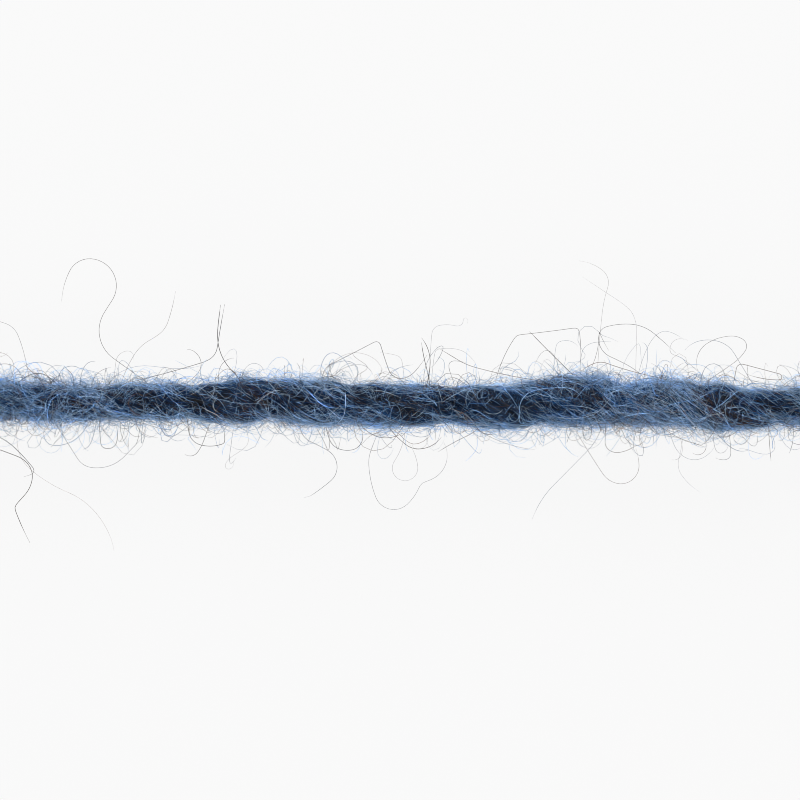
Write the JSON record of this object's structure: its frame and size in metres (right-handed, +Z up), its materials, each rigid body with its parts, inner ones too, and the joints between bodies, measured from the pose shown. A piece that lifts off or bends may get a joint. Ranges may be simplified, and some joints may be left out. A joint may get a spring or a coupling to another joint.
{
  "type": "yak yarn cut length",
  "caption": "Short straight cut length of hairy two-ply yak yarn in heathered blue, with its ply lay and longest stray hairs, lying flat.",
  "frame": {"origin": "on the surface that the yarn lies on, under the middle of the part", "axes": "+X along the yarn, +Y across it, +Z up from the surface that it lies on"},
  "size_m": [0.05, 0.0138, 0.0047],
  "materials": {
    "blue_down": "matt, fine fibres in navy, mid blue and black brown",
    "pale_fuzz": "soft sheen, very fine pale blue fibres",
    "guard_hair": "slightly glossy, coarse brown grey hairs"
  },
  "bodies": {
    "root": {"yarn_strand": "blue_down"}
  },
  "joints": []
}
